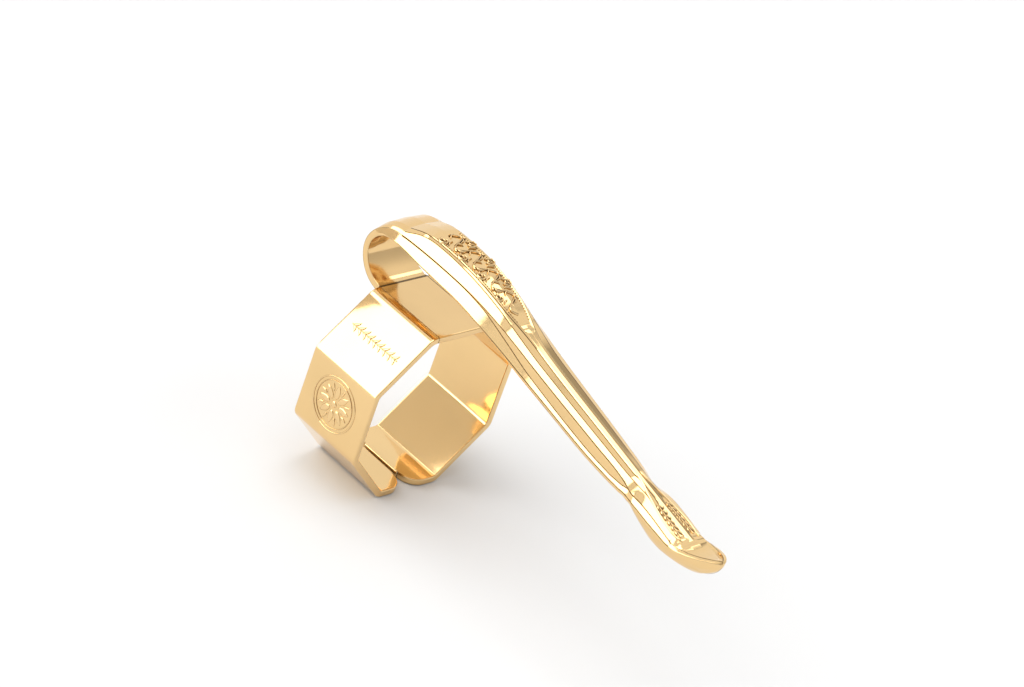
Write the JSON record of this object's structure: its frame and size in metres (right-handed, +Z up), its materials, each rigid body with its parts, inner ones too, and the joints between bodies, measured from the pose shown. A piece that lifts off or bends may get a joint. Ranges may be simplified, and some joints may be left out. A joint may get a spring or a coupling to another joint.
{
  "type": "pen cap pocket clip",
  "caption": "Pocket clip for an octagonal pen cap: a split spring band, a spring loop behind it, and a long ridged channel arm that ends in a rounded foot, in gold-plated sheet brass.",
  "frame": {"origin": "centre of the octagonal band, on the pen's axis, halfway along the band's width", "axes": "+X along the pen's axis towards the tip of the arm, +Y to the left side, +Z up from the pen's axis to the arm"},
  "size_m": [0.0348, 0.0136, 0.0188],
  "materials": {
    "plating_outside": "polished gold plating",
    "plating_inside": "bright gold plating with fine rolling marks"
  },
  "bodies": {
    "band": {"band_top_wall": "plating_inside", "spring_loop_lower": "plating_inside"},
    "right_jaw": {"right_shoulder_wall": "plating_outside", "right_side_wall": "plating_outside", "right_lower_wall": "plating_outside", "right_seam_tab": "plating_outside"},
    "left_jaw": {"left_shoulder_wall": "plating_outside", "left_side_wall": "plating_outside", "left_lower_wall": "plating_outside", "left_seam_tab": "plating_outside"},
    "arm": {"spring_loop_upper": "plating_outside", "arm_rear_panel": "plating_outside", "arm_front_panel": "plating_outside", "right_rear_flange": "plating_outside", "right_front_flange": "plating_outside", "left_rear_flange": "plating_outside", "left_front_flange": "plating_outside", "tip_foot": "plating_outside"}
  },
  "joints": [
    {"name": "arm_lift", "type": "hinge", "parent": "band", "child": "arm", "pos_m": [-0.00545, 0, 0.00865], "axis": [0, -1, 0], "range_deg": [0, 8], "stiffness_Nm_per_rad": 0.4},
    {"name": "right_jaw_spread", "type": "hinge", "parent": "band", "child": "right_jaw", "pos_m": [0, -0.00224, 0.00645], "axis": [-1, 0, 0], "range_deg": [0, 3], "stiffness_Nm_per_rad": 0.4},
    {"name": "left_jaw_spread", "type": "hinge", "parent": "band", "child": "left_jaw", "pos_m": [0, 0.00224, 0.00645], "axis": [1, 0, 0], "range_deg": [0, 3], "stiffness_Nm_per_rad": 0.4}
  ],
  "couplings": [
    {"joint": "left_jaw_spread", "follows": "right_jaw_spread", "ratio": 1}
  ]
}
